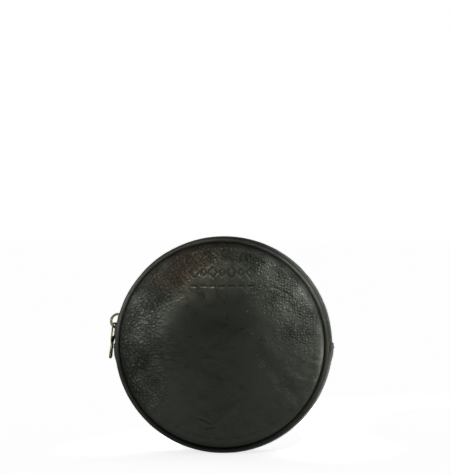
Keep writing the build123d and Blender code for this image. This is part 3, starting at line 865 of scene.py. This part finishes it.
def make_coil(side_name, shift):
    """Half of the zip's coil, on the inside of the tapes: flat turns whose heads reach in between the other
    half's. Near the zip's ends, where the slider stops with its post between them, they stay apart."""
    side = SIDES[side_name]
    radius_middle, radius_half = 52.92, 0.45
    far, near_apart, reach_in = 1.92, 0.62, 0.87  # depths of the turns' backs and heads
    first_stop, last_stop = math.radians(17), math.radians(169)
    pitch, wire, sides, per_turn = 1.1, 0.265, 6, 14
    ends = zip_angles(1.0, LAP_TOP_Z + 5.0, radius_middle)
    turns = int((ends[-1] - ends[0]) * radius_middle / pitch)
    t = np.arange(turns * per_turn + 1) / per_turn
    phase = 2 * np.pi * t
    angle = ends[0] + (t * pitch + shift * pitch) / radius_middle
    angle = np.minimum(angle, ends[-1])
    wide = np.tanh(2.2 * np.cos(phase)) / math.tanh(2.2)
    from_end = np.minimum(angle - first_stop, last_stop - angle) * radius_middle
    near = near_apart - reach_in * smoothstep(0, 2.5, from_end)
    depth = (near + far) / 2 - (far - near) / 2 * wide
    radius = radius_middle + radius_half * np.sin(phase)
    centre = place(radius, angle, side * depth)
    along = np.gradient(centre, axis=0)
    along /= np.linalg.norm(along, axis=1)[:, None]
    ring_way = np.stack([-np.sin(angle), 0 * angle, np.cos(angle)], axis=-1)
    first = np.cross(along, ring_way)
    first /= np.linalg.norm(first, axis=1)[:, None]
    second = np.cross(along, first)
    a = np.linspace(0, 2 * np.pi, sides, endpoint=False)
    out_first = np.cos(a)[None, :, None] * first[:, None]
    out_second = np.sin(a)[None, :, None] * second[:, None]
    tube = centre[:, None] + wire * (out_first + out_second)
    flat = np.stack(np.broadcast_arrays((t * 5)[:, None], wire * a[None, :], 0.0), axis=-1)
    faces = capped_tube(len(t), sides)
    coil = new_piece(f"{side_name}_coil", tube.reshape(-1, 3), faces, NYLON, flat.reshape(-1, 3))
    outward(coil)
    finish_soft(coil, side_name, "zip_coil", f"{side_name}_zip_coil", f"{side_name}_zip_coil_ends")


def make_coil_stitching(side_name):
    """Two rows of small stitches that hold the coil, seen on the outside of the tape."""
    side = SIDES[side_name]
    sides, rings, half_length = 6, 5, 0.48
    places = zip_angles(1.25, LAP_TOP_Z + 0.8)
    points, faces, flat = [], [], []
    for row in (0.95, 2.0):
        for angle in places:
            start = len(points)
            for ring in range(rings):
                t = 2 * ring / (rings - 1) - 1
                thick = 0.10 * math.sqrt(max(0.0, 1 - 0.9 * t**2))
                radius = TAPE_RADIUS + 0.18 - 0.12 * t * t
                along = angle + half_length * t / TAPE_RADIUS
                for n in range(sides):
                    a = 2 * math.pi * n / sides
                    depth = row + thick * math.cos(a) + 0.1 * t
                    points.append(place(radius + thick * math.sin(a), along, side * depth))
                    flat.append((half_length * t, thick * a, 0))
            faces += capped_tube(rings, sides, start)
    stitching = new_piece(f"{side_name}_coil_stitching", points, faces, THREAD, flat)
    outward(stitching)
    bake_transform(stitching)


def make_facing(side_name, seed):
    """The narrow lining strip inside the tape."""
    side = SIDES[side_name]
    angles = zip_angles(0.6)
    near, far, radius, thick = 4.3, 9.4, 53.5, 0.35
    across = np.linspace(near, far, 12)
    outside = np.stack([radius + 0 * across, across], axis=-1)
    inside = np.stack([radius - thick + 0 * across, across[::-1]], axis=-1)
    outline = np.concatenate([outside, inside])
    section = np.repeat(outline[None], len(angles), axis=0)
    arc = angles[:, None] * TAPE_RADIUS + 0 * section[..., 1]
    loose = smoothstep(near, 6.0, section[..., 1]) * smoothstep(far, 8.0, section[..., 1])
    section[..., 0] -= (0.25 + 0.2 * layered_noise(arc, section[..., 1], 5.0, seed)) * loose
    section[..., 1] *= side
    facing = strip(f"{side_name}_facing", angles, section, LINING_CLOTH)
    finish_soft(facing, side_name, "lining_fabric", f"{side_name}_zip_facing", f"{side_name}_zip_facing_ends")


def dress_metal():
    """The metal keeps its CAD shape and only gets its material."""
    for name in ("zip_top_stops", "zip_bottom_stop", "slider_body", "slider_bail", "pull_tab"):
        node = frame["nodes"][name]
        node.data.materials.clear()
        node.data.materials.append(BRASS)


# --- Stage ----------------------------------------------------------------------------------------
def make_stage():
    """A plain white floor, and a world that is white to the camera and dim as a light."""
    floor_mesh = bpy.data.meshes.new("floor")
    size = 6.0
    corners = [(-size, -size, 0), (size, -size, 0), (size, size, 0), (-size, size, 0)]
    floor_mesh.from_pydata(corners, [], [(0, 1, 2, 3)])
    floor = bpy.data.objects.new("floor", floor_mesh)
    bpy.context.scene.collection.objects.link(floor)
    shader = Shader("floor_paper", Base_Color=(0.95, 0.95, 0.95, 1), Roughness=0.9)
    shader.surface.inputs["Emission Color"].default_value = (1, 1, 1, 1)
    shader.surface.inputs["Emission Strength"].default_value = 0.78
    floor_mesh.materials.append(shader.material)
    floor.location.z = -0.0002
    world = bpy.data.worlds.new("studio")
    world.use_nodes = True
    tree = world.node_tree
    seen = tree.nodes["Background"]
    seen.inputs["Color"].default_value = (1, 1, 1, 1)
    lighting = tree.nodes.new("ShaderNodeBackground")
    lighting.inputs["Color"].default_value = (1, 1, 1, 1)
    lighting.inputs["Strength"].default_value = 0.115
    choose = tree.nodes.new("ShaderNodeMixShader")
    tree.links.new(tree.nodes.new("ShaderNodeLightPath").outputs["Is Camera Ray"], choose.inputs[0])
    tree.links.new(lighting.outputs[0], choose.inputs[1])
    tree.links.new(seen.outputs[0], choose.inputs[2])
    tree.links.new(choose.outputs[0], tree.nodes["World Output"].inputs["Surface"])
    bpy.context.scene.world = world
    bpy.context.scene.view_settings.view_transform = "Standard"


def add_spot(name, position, target, radius, power, colour=(1, 1, 1)):
    """A soft round pool of light on the purse, with its radius in millimetres."""
    reach = (Vector(target) - Vector(position)).length
    lamp = bpy.data.lights.new(name, "SPOT")
    lamp.energy = power
    lamp.color = colour
    lamp.spot_size = 2 * math.atan(radius * MM / reach)
    lamp.spot_blend = 1.0
    lamp.shadow_soft_size = 0.02
    holder = bpy.data.objects.new(name, lamp)
    holder.location = position
    holder.rotation_euler = (Vector(target) - Vector(position)).to_track_quat("-Z", "Y").to_euler()
    bpy.context.scene.collection.objects.link(holder)


def make_lights():
    """Soft pools of light on the grained parts and the right rim, and a weak overhead sun."""
    add_spot("right_key", (0.22, -0.85, 0.42), (0.051, 0, 0.090), 36, 230)
    add_spot("left_key", (-0.36, -0.82, 0.38), (-0.060, 0, 0.086), 36, 200)
    add_spot("top_key", (-0.12, -0.85, 0.48), (-0.014, 0, 0.106), 36, 72, (1.0, 0.92, 0.85))
    add_spot("right_fill", (0.22, -0.85, 0.42), (0.048, 0, 0.020), 38, 36)
    add_spot("left_fill", (-0.36, -0.82, 0.38), (-0.054, 0, 0.036), 40, 45)
    add_spot("crease_fill", (0.12, -0.85, 0.30), (0.024, 0, 0.046), 18, 12)
    add_spot("right_rim", (0.40, -0.38, 0.055), (0.053, 0, 0.050), 30, 20)
    sun = bpy.data.lights.new("overhead", "SUN")
    sun.angle = math.radians(60)
    sun.energy = 0.35
    holder = bpy.data.objects.new("overhead", sun)
    holder.rotation_euler = (math.radians(-12), math.radians(-8), 0)
    bpy.context.scene.collection.objects.link(holder)


def make_camera():
    """A long lens, nearly square on, with the purse low in the picture."""
    azimuth, elevation, distance = math.radians(5), math.radians(3), 1.5
    aim_right, aim_up, picture_height = 0.6 * MM, 54.0 * MM, 239.1 * MM
    camera = bpy.data.objects.new("camera", bpy.data.cameras.new("camera"))
    middle = Vector((0, 0, CENTRE_Z * MM))
    level = math.cos(elevation)
    toward = Vector((math.sin(azimuth) * level, -math.cos(azimuth) * level, math.sin(elevation)))
    camera.location = middle + distance * toward
    right = Vector((math.cos(azimuth), math.sin(azimuth), 0))
    aim = middle + right * aim_right + Vector((0, 0, aim_up))
    camera.rotation_euler = (aim - camera.location).to_track_quat("-Z", "Y").to_euler()
    camera.data.sensor_width = 36
    camera.data.lens = 36 * distance / picture_height
    bpy.context.scene.collection.objects.link(camera)
    bpy.context.scene.camera = camera


make_camera()
make_stage()
make_lights()
make_panel("front", front_marks, 11)
make_panel("back", back_marks, 47)
for number, side_name in enumerate(SIDES):
    make_piping(side_name, 100 + number)
    make_lining(side_name, 140 + number)
    make_tape(side_name, 180 + number)
    make_coil(side_name, 0.5 * number)
    make_coil_stitching(side_name)
    make_facing(side_name, 220 + number)
make_gusset(260)
make_stitches()
make_base_lining(300)
dress_metal()
